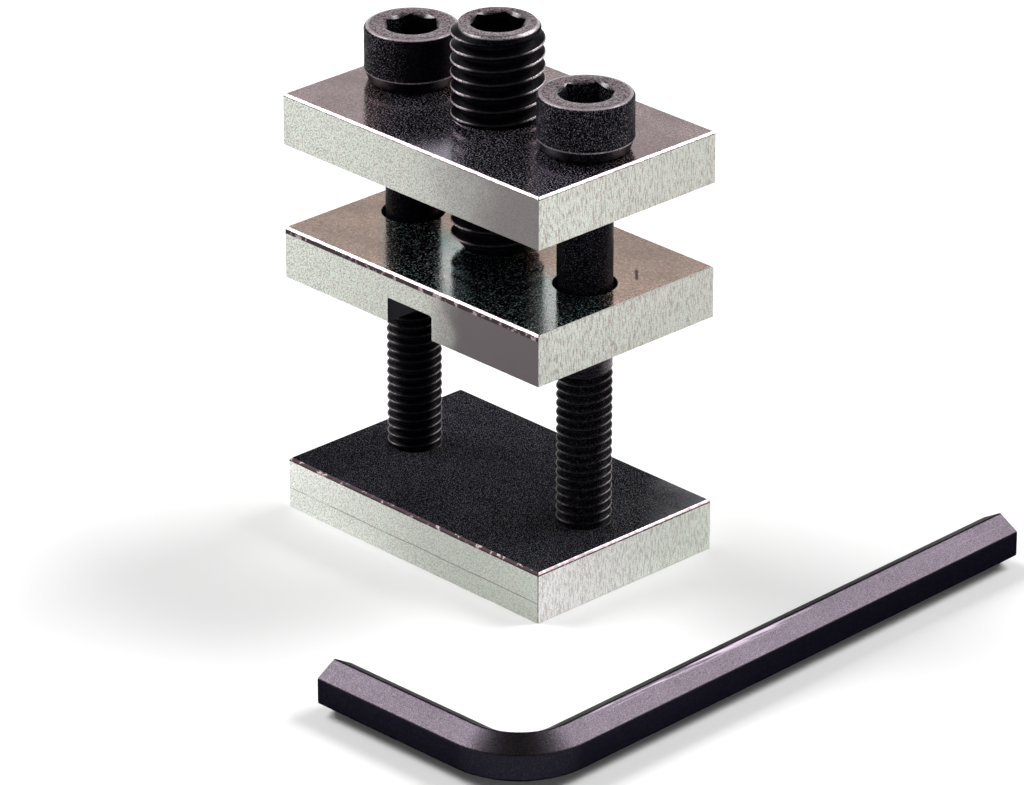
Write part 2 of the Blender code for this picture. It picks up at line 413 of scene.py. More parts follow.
def satin_side(name, settings, look):
    """Satin steel speckled in pale green and pink, painted lighter towards -X and darker towards +X as shade,
    and with a painted dark reflection towards its +X end.

    look holds the strength, start and width of the painted dark reflection, the last two in millimetres along
    X.
    It may hold a gain that paints the steel brighter as light, specks, the strength of the specks, and
    scribe, a scribed line's height in millimetres.
    """
    finish = Finish(name)
    strength, start, width = look["painted_dark_reflection"]
    # A gain above 1 paints the steel brighter as light
    painted_light_gain, specks = look.get("painted_light_gain", 1.0), look.get("specks", 1.0)
    speckle = finish.noise(6, 1)
    fine = finish.noise(12, 1)
    cloud = finish.noise(0.25, 2)
    across, _, height = finish.split(finish.millimetres)
    # Painted shade: a lit copy of the side colour towards -X and a dimmed one towards +X
    bright, dim = opaque(settings.side_colour, 1.15 * painted_light_gain), opaque(settings.side_colour, 0.85 * painted_light_gain)
    tone = finish.mix(finish.step(across, -20, 12), bright, dim)
    tone = finish.over(tone, finish.step(speckle, 0.45, 0.58) * (0.75 * specks), settings.speck_colour)
    tone = finish.over(tone, finish.step(fine, 0.53, 0.63) * 0.6, settings.pink_colour)
    # Painted dark reflection towards the +X end
    dark_reflection = finish.step(across + cloud * 6, start, start + width) * strength
    tone = finish.over(tone, dark_reflection, settings.reflection_and_scribe_colour)
    if "scribe" in look:
        line = finish.step(finish.off(height, look["scribe"] + cloud * 0.2), 0.09, 0.03)
        tone = finish.over(tone, line * finish.step(cloud, 0.2, 0.5) * 0.6, settings.reflection_and_scribe_colour)
    return finish.surface(
        Base_Color=tone, Metallic=1, Normal=finish.bump(speckle + fine * 0.5, 0.016 * MM),
        Roughness=0.42 + 0.12 * speckle - 0.12 * dark_reflection,
    )


def sawn_end(name, settings, look):
    """Bright steel with the fine upright lines of a saw, painted lighter towards -Y and darker towards +Y as
    shade. look may hold the painted light gain and specks, as for satin_side.
    """
    finish = Finish(name)
    # A gain above 1 paints the steel brighter as light
    painted_light_gain, specks = look.get("painted_light_gain", 1.0), look.get("specks", 1.0)
    lines = finish.noise((1, 6.5, 1.1), 2, rough=0.65)
    fine = finish.noise((1, 12, 3.5), 1)
    speckle = finish.noise(8, 1)
    along = finish.split(finish.millimetres)[1]
    # Painted shade: a lit copy of the end colour towards -Y and a dimmed one towards +Y
    bright, dim = opaque(settings.end_colour, 1.1 * painted_light_gain), opaque(settings.end_colour, 0.86 * painted_light_gain)
    tone = finish.mix(finish.step(along, -13, 13), bright, dim)
    tone = finish.over(tone, finish.step(lines, 0.48, 0.60) * (0.8 * specks), settings.speck_colour, 1.2)
    tone = finish.over(tone, finish.step(fine, 0.50, 0.62) * 0.5, settings.streak_colour)
    tone = finish.over(tone, finish.step(speckle, 0.52, 0.64) * (0.6 * specks), settings.speck_colour)
    return finish.surface(
        Base_Color=tone, Metallic=1, Normal=finish.bump(lines + fine * 0.35 + speckle * 0.4, 0.020 * MM),
        Roughness=0.40 + 0.14 * speckle,
    )


def deburred_edge(name, settings):
    """The bright line of an edge that was broken with a file."""
    finish = Finish(name)
    chatter = finish.noise((1.6, 1.6, 3), 3)
    bright = opaque(settings.edge_colour, 1.4)
    tone = finish.over(bright, finish.step(chatter, 0.42, 0.62), settings.edge_colour, 0.75)
    return finish.surface(
        Base_Color=tone, Metallic=1, Normal=finish.bump(chatter, 0.03 * MM), Roughness=0.28 + 0.2 * chatter,
    )


def painted_edge_shade_line(name, settings):
    """A thin line of painted shade under an edge, broken here and there."""
    finish = Finish(name)
    chatter = finish.noise(1.3, 3)
    dark = opaque(settings.edge_shade_and_nick_colour)
    tone = finish.over(dark, finish.step(chatter, 0.55, 0.66), settings.edge_colour, 0.9)
    return finish.surface(Base_Color=tone, Metallic=1, Roughness=0.4 + 0.2 * chatter)


def bored_wall(name, settings):
    """Drilled and milled walls, painted near black as shade, with rings from the tool and a film of oil."""
    finish = Finish(name)
    shade = settings.shaded_bore_colour
    rings = finish.noise((0.4, 0.4, 9), 2)
    smear = finish.noise(0.8, 2)
    tone = finish.mix(smear, opaque(shade, 0.6), opaque(shade, 1.4))
    return finish.surface(
        Base_Color=tone, Metallic=1, Normal=finish.bump(rings, 0.01 * MM), Roughness=0.3 + 0.15 * smear,
    )


def black_oxide(name, settings, top, crown, thread, land=None, lit_across=None):
    """Oiled black oxide: near black on its sides, dusty and painted lighter as lit on its flat top, worn
    bright on its rims, with painted highlights on the thread crests at left and right and on a ring under a
    head's knurls.

    top is the height of the screw's top, crown the radius of its flat, thread the radius of its thread, and
    land the height of the painted highlight ring under a head's knurls. The dust specks on a head's knurls
    thicken between the two places in the last argument, in millimetres across SIGHT, as painted light on its
    lit side.
    """
    finish = Finish(name)
    peak, edge, mouth = top * PER_MM, crown * PER_MM, settings.socket_mouth * PER_MM
    grain = finish.noise(5.5, 2, rough=0.6)
    fine = finish.noise(9, 1)
    smear = finish.noise(0.7, 3)
    height = finish.split(finish.millimetres)[2]
    aside = finish.split(finish.rotated(-SIGHT))[0]
    radius = finish.from_axis()
    flat = finish.step(finish.upward(), 0.75, 0.97) * finish.step(height, peak - 0.2, peak - 0.05)
    lip = finish.step(radius, mouth + 0.1, mouth) * finish.step(height, peak - 0.95, peak - 0.75)
    rim = finish.step(finish.off(radius, edge + 0.12), 0.24, 0.08)
    rim = rim * finish.step(height, peak - 0.5, peak - 0.2)
    reach = thread * PER_MM
    crest = finish.step(radius, reach - 0.13, reach - 0.05)
    # Painted highlight: the crests' bright wear is strongest at the left and right across the line of sight
    crest = crest * (0.05 + finish.step(finish.off(aside, 0), reach * 0.45, reach * 0.95))
    if land:
        foot, shank = land * PER_MM, settings.cap_thread * PER_MM + 0.5
        # Painted highlight: a bright ring just above the foot
        ring = finish.step(finish.off(height, foot + 0.08), 0.10, 0.04) * (0.2 + 0.8 * smear)
        ring = ring * finish.step(radius, edge + 0.3, edge + 0.4)
        crest = 0.4 * crest * finish.step(height, shank + 1, shank) + ring
        knurls = finish.step(height, foot - 0.2, foot + 0.1)
        # Dust specks, thicker across the head as painted light on its lit side
        dust_and_light = (0.15 + 0.4 * knurls) * (0.1 + 1.5 * finish.step(aside, *lit_across))
    else:
        crest = crest * finish.step(height, peak - 0.7, peak - 0.9)
        dust_and_light = 0.06
    # Worn rims, with the painted crest and ring highlights
    wear_and_highlight = (rim * 0.9 + crest * 0.9) * (0.4 + 1.2 * smear) * finish.step(grain, 0.25, 0.6)
    specks = finish.step(fine, 0.53, 0.62) * finish.step(grain, 0.42, 0.54) * dust_and_light
    tone = finish.over(opaque(settings.oxide_colour), specks, settings.powder_and_light_colour)
    # Flat tops: dust and painted light
    pale = opaque(settings.lit_dusty_colour, 1.9)
    lit_dusty = finish.over(pale, finish.step(grain, 0.40, 0.60), settings.lit_dusty_colour, 0.25)
    tone = finish.over(finish.mix(flat, tone, lit_dusty), wear_and_highlight, settings.wear_and_highlight_colour)
    return finish.surface(
        Base_Color=tone, Metallic=wear_and_highlight, Coat_Weight=0.45 * flat + 0.6 * rim + 0.6 * lip + 0.35 * crest,
        Roughness=0.24 + 0.22 * grain + 0.2 * rim, Normal=finish.bump(grain + fine * 0.5, 0.014 * MM),
        Specular_IOR_Level=0.015, Coat_Roughness=0.18, Coat_IOR=1.7,
    )


def key_finish(name, settings, top):
    """Dark key steel, painted violet grey as lit on the faces that look up, and near black as shaded on the
    upright ones.

    top is the height of the ridge, which carries streaks of painted highlight for part of the long arm.
    """
    finish = Finish(name)
    grain = finish.noise(6, 2, rough=0.6)
    fine = finish.noise(10, 1)
    drawn = finish.noise((3.5, 0.12, 3.5), 2)
    smear = finish.noise(0.22, 3)
    up = finish.step(finish.upward(), 0.2, 0.75)
    upper, lower = settings.lit_upper_colour, settings.shaded_lower_colour
    # Painted light and shade: the lit colour on faces that look up, the shaded one on the rest
    tone = finish.over(opaque(lower), up, upper)
    tone = finish.over(tone, finish.step(grain, 0.42, 0.64) * 0.45, lower)
    tone = finish.over(tone, finish.step(fine, 0.52, 0.66) * (0.08 + 0.6 * up), upper, 2.0)
    tone = finish.over(tone, finish.step(drawn, 0.6, 0.75) * up * 0.3, upper, 1.8)
    tone = finish.over(tone, finish.step(grain, 0.53, 0.63) * (1 - up) * 0.22, upper)
    _, along, height = finish.split(finish.millimetres)
    # Painted highlight streaks along part of the ridge
    ridge = finish.step(height, top * PER_MM - 0.35, top * PER_MM - 0.1)
    for limits in RIDGE_HIGHLIGHT:
        ridge = ridge * finish.step(along, *limits)
    tone = finish.over(tone, ridge * finish.step(drawn, 0.48, 0.6) * 0.7, upper, 4)
    return finish.surface(
        Base_Color=tone, Metallic=1, Normal=finish.bump(grain + fine * 0.4, 0.010 * MM),
        Roughness=0.22 + 0.10 * smear + 0.10 * grain, Specular_Tint=opaque(upper, 3),
    )


def table_top(name, shade):
    """Matt pale card."""
    finish = Finish(name)
    cloud = finish.noise(0.004, 2)
    tone = finish.mix(cloud, opaque(shade, 0.99), opaque(shade, 1.01))
    return finish.surface(Base_Color=tone, Roughness=0.8, Specular_IOR_Level=0.2)


def circle(radius, height, columns, turn=0.0):
    """A level row of points round the Z axis."""
    angles = [turn + TURN * i / columns for i in range(columns)]
    return [(radius * cos(a), radius * sin(a), height) for a in angles]


def add_row(shape, points):
    return [shape.verts.new(point) for point in points]


def join_rows(shape, lower, upper):
    """Faces between two closed rows, one of which may hold a whole number of times the other's vertices."""
    if len(lower) > len(upper):
        lower, upper = upper, lower
    each = len(upper) // len(lower)
    for i in range(len(lower)):
        following = (i + 1) % len(lower)
        fan = [upper[(i * each + k) % len(upper)] for k in range(each + 1)]
        shape.faces.new((lower[i], lower[following], *reversed(fan)))


def join_all(shape, rows):
    for lower, upper in zip(rows, rows[1:]):
        join_rows(shape, lower, upper)


def placed(name, data):
    obj = bpy.data.objects.new(name, data)
    bpy.context.scene.collection.objects.link(obj)
    return obj


def join_closed(shape, rows):
    """Joins the rows and closes both ends."""
    join_all(shape, rows)
    shape.faces.new(rows[0])
    shape.faces.new(rows[-1])


def finished_mesh(name, shape):
    """The bmesh as an object, with doubled points merged and all faces pointing out."""
    bmesh.ops.remove_doubles(shape, verts=shape.verts, dist=MERGE)
    bmesh.ops.dissolve_degenerate(shape, edges=shape.edges, dist=MERGE / 10)
    bmesh.ops.recalc_face_normals(shape, faces=shape.faces)
    mesh = bpy.data.meshes.new(name)
    shape.to_mesh(mesh)
    shape.free()
    return placed(name, mesh)


def turned(name, profile):
    """A solid of revolution about Z from (radius, height) pairs, listed from the bottom up."""
    shape = bmesh.new()
    rows = [add_row(shape, circle(radius, height, HOLE_COLUMNS)) for radius, height in profile]
    join_closed(shape, rows)
    return finished_mesh(name, shape)


def thread_rows(shape, low, high, pitch, columns, turn, phase, radius_at):
    """Right-handed thread from height low to high. radius_at gives a radius from a depth share and a height.

    Rows climb one pitch round the axis, so each row's last point meets the one a turn above its first.
    phase is a share of a turn, and the same for a screw and its tapped hole.
    """
    first = floor(low / pitch - (turn + TURN) / TURN) - 1
    last = ceil(high / pitch - turn / TURN) + 1
    rows = []
    for lap in range(first, last):
        for along, depth in THREAD:
            row = []
            for i in range(columns + 1):
                around = turn + TURN * i / columns
                height = min(high, max(low, pitch * (lap + along + phase + around / TURN)))
                radius = radius_at(depth, height)
                row.append(shape.verts.new((radius * cos(around), radius * sin(around), height)))
            rows.append(row)
    for lower, upper in zip(rows, rows[1:]):
        for i in range(columns):
            shape.faces.new((lower[i], lower[i + 1], upper[i + 1], upper[i]))
    return rows[0][:-1], rows[-1][:-1]


def hexagon_radius(flats, around):
    """Distance from a hexagon's middle to its outline, at an angle from one of its corners."""
    return flats / 2 / cos(around % (TURN / 6) - TURN / 12)


def socket_rows(shape, top, depth, settings, columns, turn):
    """Rows from a screw's flat top down into its hexagonal socket, whose mouth is countersunk."""
    wall_top, drill, drill_tip, drill_cone = 0.85 * MM, 0.47, 0.1 * MM, 1.2 * MM
    angles = [turn + TURN * i / columns for i in range(columns)]
    hexagon = [hexagon_radius(settings.socket_flats, TURN * i / columns) for i in range(columns)]
    mouth, edge = settings.socket_mouth, 0.03 * MM
    rows = [circle(mouth + edge, top, columns, turn), circle(mouth, top - edge / 2, columns, turn)]
    rows.append([
        (r * cos(a), r * sin(a), top - edge / 2 - (mouth - r) * MOUTH_SLOPE) for r, a in zip(hexagon, angles)
    ])
    for height in (top - wall_top, top - depth):
        rows.append([(r * cos(a), r * sin(a), height) for r, a in zip(hexagon, angles)])
    rows.append(circle(settings.socket_flats * drill, top - depth, columns, turn))
    rows.append(circle(drill_tip, top - depth - drill_cone, columns, turn))
    return [add_row(shape, row) for row in rows]


def cap_profile(settings, seat, top, radius):
    """(radius, height, knurled share) up a cap screw's head, from the shank's fillet to its flat top."""
    foot = radius - settings.foot_step
    land = seat + settings.foot_height
    rounding = settings.rim_rounding
    rows = [
        (settings.cap_major + 0.30 * MM, seat, 0),
        (foot - 0.08 * MM, seat, 0),
        (foot, seat + 0.08 * MM, 0),
        (radius - 0.08 * MM, land - 0.10 * MM, 0),
        (radius, land, 0),
        (radius, land + 0.16 * MM, 0),
        (radius - 0.03 * MM, land + 0.24 * MM, 1),
        (radius - 0.03 * MM, top - rounding - 0.06 * MM, 1),
        (radius - 0.02 * MM, top - rounding + 0.04 * MM, 0),
    ]
    for i in range(1, ROUNDING_STEPS + 1):
        a = i * pi / 2 / ROUNDING_STEPS
        rows.append((radius - rounding * (1 - cos(a)), top - rounding * (1 - sin(a)), 0))
    return rows


def cap_screw(node, turn, settings):
    """A socket cap screw with a straight-knurled head, a plain shank and a rolled thread."""
    low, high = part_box(node)
    centre, radius = (low + high) / 2, (high.x - low.x) / 2
    seat, tip, top = high.z - settings.head_height, low.z, high.z
    major, minor, depth = settings.cap_major, settings.cap_minor, settings.cap_major - settings.cap_minor
    shank, tip_radius, run_out = major - 0.01 * MM, minor - 0.1 * MM, 1.6 * MM
    thread_top = tip + settings.cap_thread

    def radius_at(depth_share, height):
        cut = minor + depth * depth_share
        cut = min(cut, tip_radius + height - tip)
        fading = max(0, (height - thread_top + run_out) / run_out)
        return cut + (shank - cut) * fading

    shape = bmesh.new()
    start, end = thread_rows(shape, tip, thread_top, settings.cap_pitch, THREAD_COLUMNS, turn, 0, radius_at)
    shape.faces.new(start)
    neck = [(shank, thread_top + 0.2 * MM), (shank, seat - 0.3 * MM), (shank + 0.09 * MM, seat - 0.09 * MM)]
    rows = [end, *(add_row(shape, circle(r, z, THREAD_COLUMNS, turn)) for r, z in neck)]
    columns = 2 * settings.knurls
    for r, height, knurled in cap_profile(settings, seat, top, radius):
        row = circle(r, height, columns, turn)
        inner = circle(r - settings.knurl_depth, height, columns, turn)
        rows.append(add_row(shape, [inner[i] if knurled and i % 2 else row[i] for i in range(columns)]))
    rows += socket_rows(shape, top, settings.cap_socket, settings, columns, turn)
    join_all(shape, rows)
    shape.faces.new(rows[-1])
    obj = finished_mesh(node.replace("cap_screw", "socket_cap_screw"), shape)
    obj.location = (centre.x, centre.y, 0)
    return obj


def press_screw(node, settings):
    """A headless screw with a flat point, a coarse glossy thread and a hexagonal socket in its top."""
    low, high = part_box(node)
    centre, tip, top = (low + high) / 2, low.z, high.z
    minor, depth = settings.press_minor, settings.press_major - settings.press_minor
    point, crown, edge = settings.press_point, settings.press_top, 0.06 * MM
    ring = (PRESS_COLUMNS, settings.press_turn)

    def radius_at(depth_share, height):
        cut = minor + depth * depth_share
        return min(cut, point + height - tip, crown + edge / 2 + top - edge - height)

    shape = bmesh.new()
    start, end = thread_rows(
        shape, tip + edge / 2, top - edge, settings.press_pitch, *ring, settings.press_phase, radius_at
    )
    foot = add_row(shape, circle(point - edge, tip, *ring))
    join_rows(shape, foot, start)
    shape.faces.new(foot)
    crown_row = add_row(shape, circle(crown - edge / 2, top, *ring))
    socket = socket_rows(shape, top, settings.press_socket, settings, *ring)
    join_all(shape, [end, crown_row, *socket])
    shape.faces.new(socket[-1])
    obj = finished_mesh("socket_set_screw", shape)
    obj.location = (centre.x, centre.y, 0)
    return obj


def plain_hole(place, low, high, radius, chamfer):
    """A cutter for a round hole between two heights, countersunk at both."""
    cutter = turned("hole", [
        (radius + chamfer + CUT_MARGIN, low - CUT_MARGIN),
        (radius, low + chamfer),
        (radius, high - chamfer),
        (radius + chamfer + CUT_MARGIN, high + CUT_MARGIN),
    ])
    cutter.location = (*place, 0)
    return cutter


def tapped_hole(place, low, high, pitch, phase, minor, major, chamfer):
    """Cutters for a threaded hole between two heights: its thread, then its countersinks."""
    bottom, top = low - CUT_MARGIN, high + CUT_MARGIN

    def radius_at(depth_share, height):
        return minor + (major - minor) * depth_share if bottom < height < top else minor

    shape = bmesh.new()
    start, end = thread_rows(shape, bottom, top, pitch, THREAD_COLUMNS, 0, phase, radius_at)
    shape.faces.new(start)
    shape.faces.new(end)
    thread = finished_mesh("tap", shape)
    thread.location = (*place, 0)
    inner = minor - 0.1 * MM
    reach = major + chamfer / 2 - inner
    countersinks = plain_hole(place, low, high, inner, reach)
    return [thread, countersinks]


def groove_cutter(low, high, settings):
    """A bar along Y, with its upper edges rounded, that cuts the underside of the press plate."""
    half, rounding = settings.groove_width / 2, settings.groove_rounding
    roof = low.z + settings.groove_depth
    outline = [(-half, low.z - CUT_MARGIN), (half, low.z - CUT_MARGIN)]
    for side, start in ((1, 0), (-1, pi / 2)):
        for i in range(GROOVE_STEPS + 1):
            a = start + i * pi / 2 / GROOVE_STEPS
            across = side * (half - rounding) + rounding * cos(a)
            outline.append((across, roof - rounding + rounding * sin(a)))
    shape = bmesh.new()
    rows = [
        add_row(shape, [(x, y, z) for x, z in outline]) for y in (low.y - CUT_MARGIN, high.y + CUT_MARGIN)
    ]
    join_closed(shape, rows)
    return finished_mesh("groove", shape)


def rounded_rectangle(middle, half, rounding, height):
    """A level row of points round a rectangle with rounded corners."""
    points = []
    for quarter, (side_x, side_y) in enumerate(((1, 1), (-1, 1), (-1, -1), (1, -1))):
        for i in range(CORNER_STEPS + 1):
            a = (quarter + i / CORNER_STEPS) * pi / 2
            x = middle.x + side_x * (half.x - rounding) + rounding * cos(a)
            points.append((x, middle.y + side_y * (half.y - rounding) + rounding * sin(a), height))
    return points


def plate_blank(name, low, high, settings, edge_shade, end_share):
    """A rectangular plate whose upper edges are broken with a file.

    The fifth argument is the height of the strip under the broken edges that takes the painted shade line,
    and end_share how far the end edges are broken, both as shares of the chamfer.
    """
    shape = bmesh.new()
    middle, half = ((low + high) / 2).xy, ((high - low) / 2).xy
    small, chamfer = settings.lower_chamfer, settings.edge_chamfer
    levels = [(Vector((small, small)), low.z), (Vector((0, 0)), low.z + small)]
    # Insets and drops of the broken edge, as shares of the chamfer
    broken = ((0, 1 + edge_shade), (0.04, 1 + edge_shade / 2), (0.12, 1), (1, 0.12), (1.12, 0.03), (1.3, 0))
    for inset, drop in broken:
        levels.append((Vector((inset * end_share, inset)) * chamfer, high.z - drop * chamfer))
    rows = [
        add_row(shape, rounded_rectangle(middle, half - inset, settings.corner_rounding, height))
        for inset, height in levels
    ]
    join_closed(shape, rows)
    return finished_mesh(name, shape)


def carve(obj, cutters):
    """Takes the cutters away from the object, and removes them."""
    for cutter in cutters:
        boolean = obj.modifiers.new(cutter.name, "BOOLEAN")
        boolean.operation = "DIFFERENCE"
        boolean.solver = "EXACT"
        boolean.object = cutter
    bpy.context.view_layer.update()
    graph = bpy.context.evaluated_depsgraph_get()
    blank, carved = obj.data, bpy.data.meshes.new_from_object(obj.evaluated_get(graph))
    obj.modifiers.clear()
    obj.data = carved
    bpy.data.meshes.remove(blank)
    for cutter in cutters:
        bpy.data.objects.remove(cutter)


def shade(obj):
    """Smooth shading with hard edges, and normals that keep flat faces flat."""
    obj.data.shade_smooth()
    obj.data.set_sharp_from_angle(angle=SHARP_ANGLE)
    weighted = obj.modifiers.new("Weighted normals", "WEIGHTED_NORMAL")
    weighted.keep_sharp = True


def dress_plate(obj, low, high, settings, look):
    """Gives each face of a plate the finish of its own machining, with painted shade on bores and under
    edges.

    look may hold dark_edge, for painted shade on the long sides' edges and at the corners, and clean_end, for
    no painted shade line under the end edges.
    """
    for material in (
        ground_face(obj.name + "_face", settings, look),
        satin_side(obj.name + "_side", settings, look),
        sawn_end(obj.name + "_end", settings, look),
        deburred_edge(obj.name + "_edge", settings),
        painted_edge_shade_line(obj.name + "_burr", settings),
        bored_wall(obj.name + "_bore", settings),
    ):
        obj.data.materials.append(material)
    face, side, end, edge, edge_shade, bore = range(6)
    half, middle = (high - low) / 2, (high + low) / 2
    # The least part of a normal, upwards for the first three and sideways for the last
    level, filed, leaning, corner = 0.99, 0.55, 0.02, 0.3
    for polygon in obj.data.polygons:
        place, normal = polygon.center - middle, polygon.normal
        gaps = [half[axis] - abs(place[axis]) for axis in range(3)]
        lengthwise = abs(normal.y) > abs(normal.x)
        diagonal = min(abs(normal.x), abs(normal.y)) > corner
        if abs(normal.z) > level and gaps[2] < MERGE:
            finish = face
        elif min(gaps[0], gaps[1]) > 2 * settings.edge_chamfer:
            # Painted shade: walls of holes and groove
            finish = bore
        elif normal.z > filed:
            finish = edge_shade if lengthwise and look.get("dark_edge") else edge
        # Painted shade line on the strip under the edges, and on the corners with dark_edge
        elif normal.z > leaning and (lengthwise or not look.get("clean_end")):
            finish = edge_shade
        elif diagonal and look.get("dark_edge"):
            finish = edge_shade
        else:
            finish = side if lengthwise else end
        polygon.material_index = finish


def key_section(radius, rounding):
    """A hexagon with a corner down and rounded corners, as (across, up) pairs from its middle."""
    points = []
    inner = radius - rounding / cos(radians(30))
    for corner in range(6):
        middle = pi / 2 + corner * TURN / 6
        for offset in (-30, -10, 10, 30):
            a = middle + radians(offset)
            points.append((inner * cos(middle) + rounding * cos(a), inner * sin(middle) + rounding * sin(a)))
    return points


def key_path(half, settings):
    """(centre, direction, share of full size) along the key's axis, from its short end to its long end."""
    short_end, long_end = half - settings.short_arm, settings.long_arm - half
    chamfer = settings.end_chamfer
    along_x, along_y = Vector((1, 0, 0)), Vector((0, 1, 0))
    small = 1 - chamfer / half
    path = [(along_x * short_end, along_x, small), (along_x * (short_end + chamfer), along_x, 1)]
    for i in range(BEND_STEPS + 1):
        a = i * pi / 2 / BEND_STEPS
        centre = Vector((settings.bend_radius * (sin(a) - 1), settings.bend_radius * (1 - cos(a)), 0))
        path.append((centre, Vector((cos(a), sin(a), 0)), 1))
    path += [(along_y * (long_end - chamfer), along_y, 1), (along_y * long_end, along_y, small)]
    return path


def hex_key(node, settings):
    """The L-shaped key, swept along its bend, and set where its frame solid lies."""
    low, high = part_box(node)
    half = settings.flats / 2
    radius = half / cos(radians(30))
    section = key_section(radius, settings.corner_rounding)
    turn = Matrix.Rotation(settings.turn, 3, "Z")
    shape = bmesh.new()
    rows = []
    for centre, along, size in key_path(half, settings):
        across = along.cross(Vector((0, 0, 1)))
        rows.append(add_row(shape, [
            turn @ (centre + (across * x + Vector((0, 0, y))) * size) for x, y in section
        ]))
    join_closed(shape, rows)
    reach = [[extreme(v.co[axis] for v in shape.verts) for extreme in (min, max)] for axis in range(3)]
    obj = finished_mesh("hexagon_key", shape)
    obj.location = (low + high) / 2 - Vector([(least + most) / 2 for least, most in reach])
    obj.location.z = low.z + radius
    return obj


def settle(obj, node, body, material=None):
    """Lets a finished piece stand for its frame node and move with its body."""
    if material:
        obj.data.materials.append(material)
    shade(obj)
    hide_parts(node)
    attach(obj, body)


class CHAINPRESS_OT_stage(Operator):
    """Table, room light, softboxes and camera"""

    bl_idname = "chainpress.stage"
    bl_label = "Stage"

    def execute(self, context):
        settings = context.scene.chain_stage
        shape = bmesh.new()
        bmesh.ops.create_circle(shape, cap_ends=True, segments=64, radius=settings.floor_radius)
        table = finished_mesh("table_top", shape)
        table.location.z = CAD_BOX[0].z
        table.data.materials.append(table_top("table_card", settings.floor_colour))
        self.add_camera(context, settings)
        for name, bearing in SOFTBOXES.items():
            self.add_softbox(settings, name, bearing, SOFTBOX_ELEVATION)
        self.light_room(context, settings)
        context.scene.view_settings.view_transform = "Standard"
        return {"FINISHED"}

    def direction(self, azimuth, elevation):
        """From the tool towards a bearing: azimuth 0 is -Y, and 90 degrees is +X."""
        return Vector((
            sin(azimuth) * cos(elevation), -cos(azimuth) * cos(elevation), sin(elevation)
        ))

    def add_camera(self, context, settings):
        camera = bpy.data.cameras.new("camera")
        camera.lens = settings.lens
        camera.clip_start = settings.distance / 50
        camera.clip_end = settings.distance * 50
        obj = placed("camera", camera)
        back = self.direction(settings.azimuth, settings.elevation)
        obj.location = Vector(settings.target) + back * settings.distance
        obj.rotation_euler = back.to_track_quat("Z", "Y").to_euler()
        context.scene.camera = obj

    def add_softbox(self, settings, name, azimuth, elevation):
        light = bpy.data.lights.new(name, "AREA")
        light.shape = "SQUARE"
        light.size = settings.softbox
        light.energy = settings.softbox_power
        obj = placed(name, light)
        back = self.direction(azimuth, elevation)
        obj.location = back * settings.softbox_distance
        obj.rotation_euler = back.to_track_quat("Z", "Y").to_euler()

    def light_room(self, context, settings):
        world = bpy.data.worlds.new("room")
        world.use_nodes = True
        context.scene.world = world
        room = NodeTree(world.node_tree)
        up = room.split(room.node("ShaderNodeTexCoord", out="Generated"))[2]
        lights = (
            (0.0, settings.horizon), (0.12, settings.horizon), (0.34, settings.room),
            (0.60, settings.ceiling), (1.0, settings.ceiling),
        )
        stops = [(rise, opaque((light,) * 3)) for rise, light in lights]
        shades = room.node("ShaderNodeValToRGB", {"stops": stops}, {0: up})
        background = world.node_tree.nodes["Background"]
        room.feed(background.inputs["Color"], shades)


class PlateOperator:
    """What the three plates' operators share."""

    def screw_places(self):
        boxes = [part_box(side + "_cap_screw") for side in ("left", "right")]
        return [((low + high) / 2).xy for low, high in boxes]

    def plain_holes(self, low, high, radius, chamfer):
        return [plain_hole(place, low.z, high.z, radius, chamfer) for place in self.screw_places()]

    def make(self, node, name, body, cutters, look):
        settings = bpy.context.scene.chain_plates
        low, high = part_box(node)
        obj = plate_blank(name, low, high, settings, look["edge_shade"], look["end_share"])
        carve(obj, cutters)
        dress_plate(obj, low, high, settings, look)
        settle(obj, node, body)


class CHAINPRESS_OT_base_plate(PlateOperator, Operator):
    """Base plate, tapped for the two cap screws"""

    bl_idname = "chainpress.base_plate"
    bl_label = "Base plate"

    def execute(self, context):
        plates, screws = context.scene.chain_plates, context.scene.chain_screws
        low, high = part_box("base_plate")
        cutters = []
        for place in self.screw_places():
            cutters += tapped_hole(
                place, low.z, high.z, screws.cap_pitch, 0, screws.cap_minor + screws.thread_fit,
                screws.cap_major + screws.thread_fit, plates.hole_chamfer,
            )
        # Its sides are painted brighter as light, and its face is darkened towards near black but for the +X
        # corner
        self.make("base_plate", "anvil_plate", "base", cutters, {
            "face": plates.base_colour, "sparkle": 0.62, "darkened": 0.99, "specks": 0.6, "painted_light_gain": 1.55,
            "painted_dark_reflection": (0.2, -12, 20), "scribe": 2.2, "edge_shade": 0.6, "end_share": 0.9, "dark_edge": True,
        })
        return {"FINISHED"}


class CHAINPRESS_OT_press_plate(PlateOperator, Operator):
    """Press plate, which slides on the cap screws and has a groove for the chain's pin"""

    bl_idname = "chainpress.press_plate"
    bl_label = "Press plate"

    def execute(self, context):
        plates = context.scene.chain_plates
        low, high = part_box("press_plate")
        cutters = self.plain_holes(low, high, plates.sliding_hole, plates.hole_chamfer)
        cutters.append(groove_cutter(low, high, plates))
        self.make("press_plate", "sliding_plate", "press_plate", cutters, {
            "face": plates.middle_colour, "reflection_tint": plates.middle_reflection_tint, "sparkle": 0.56,
            "tick": (14.4, -7.3), "painted_dark_reflection": (1.0, 4, 7), "edge_shade": 2.3, "end_share": 0.5, "clean_end": True,
        })
        return {"FINISHED"}


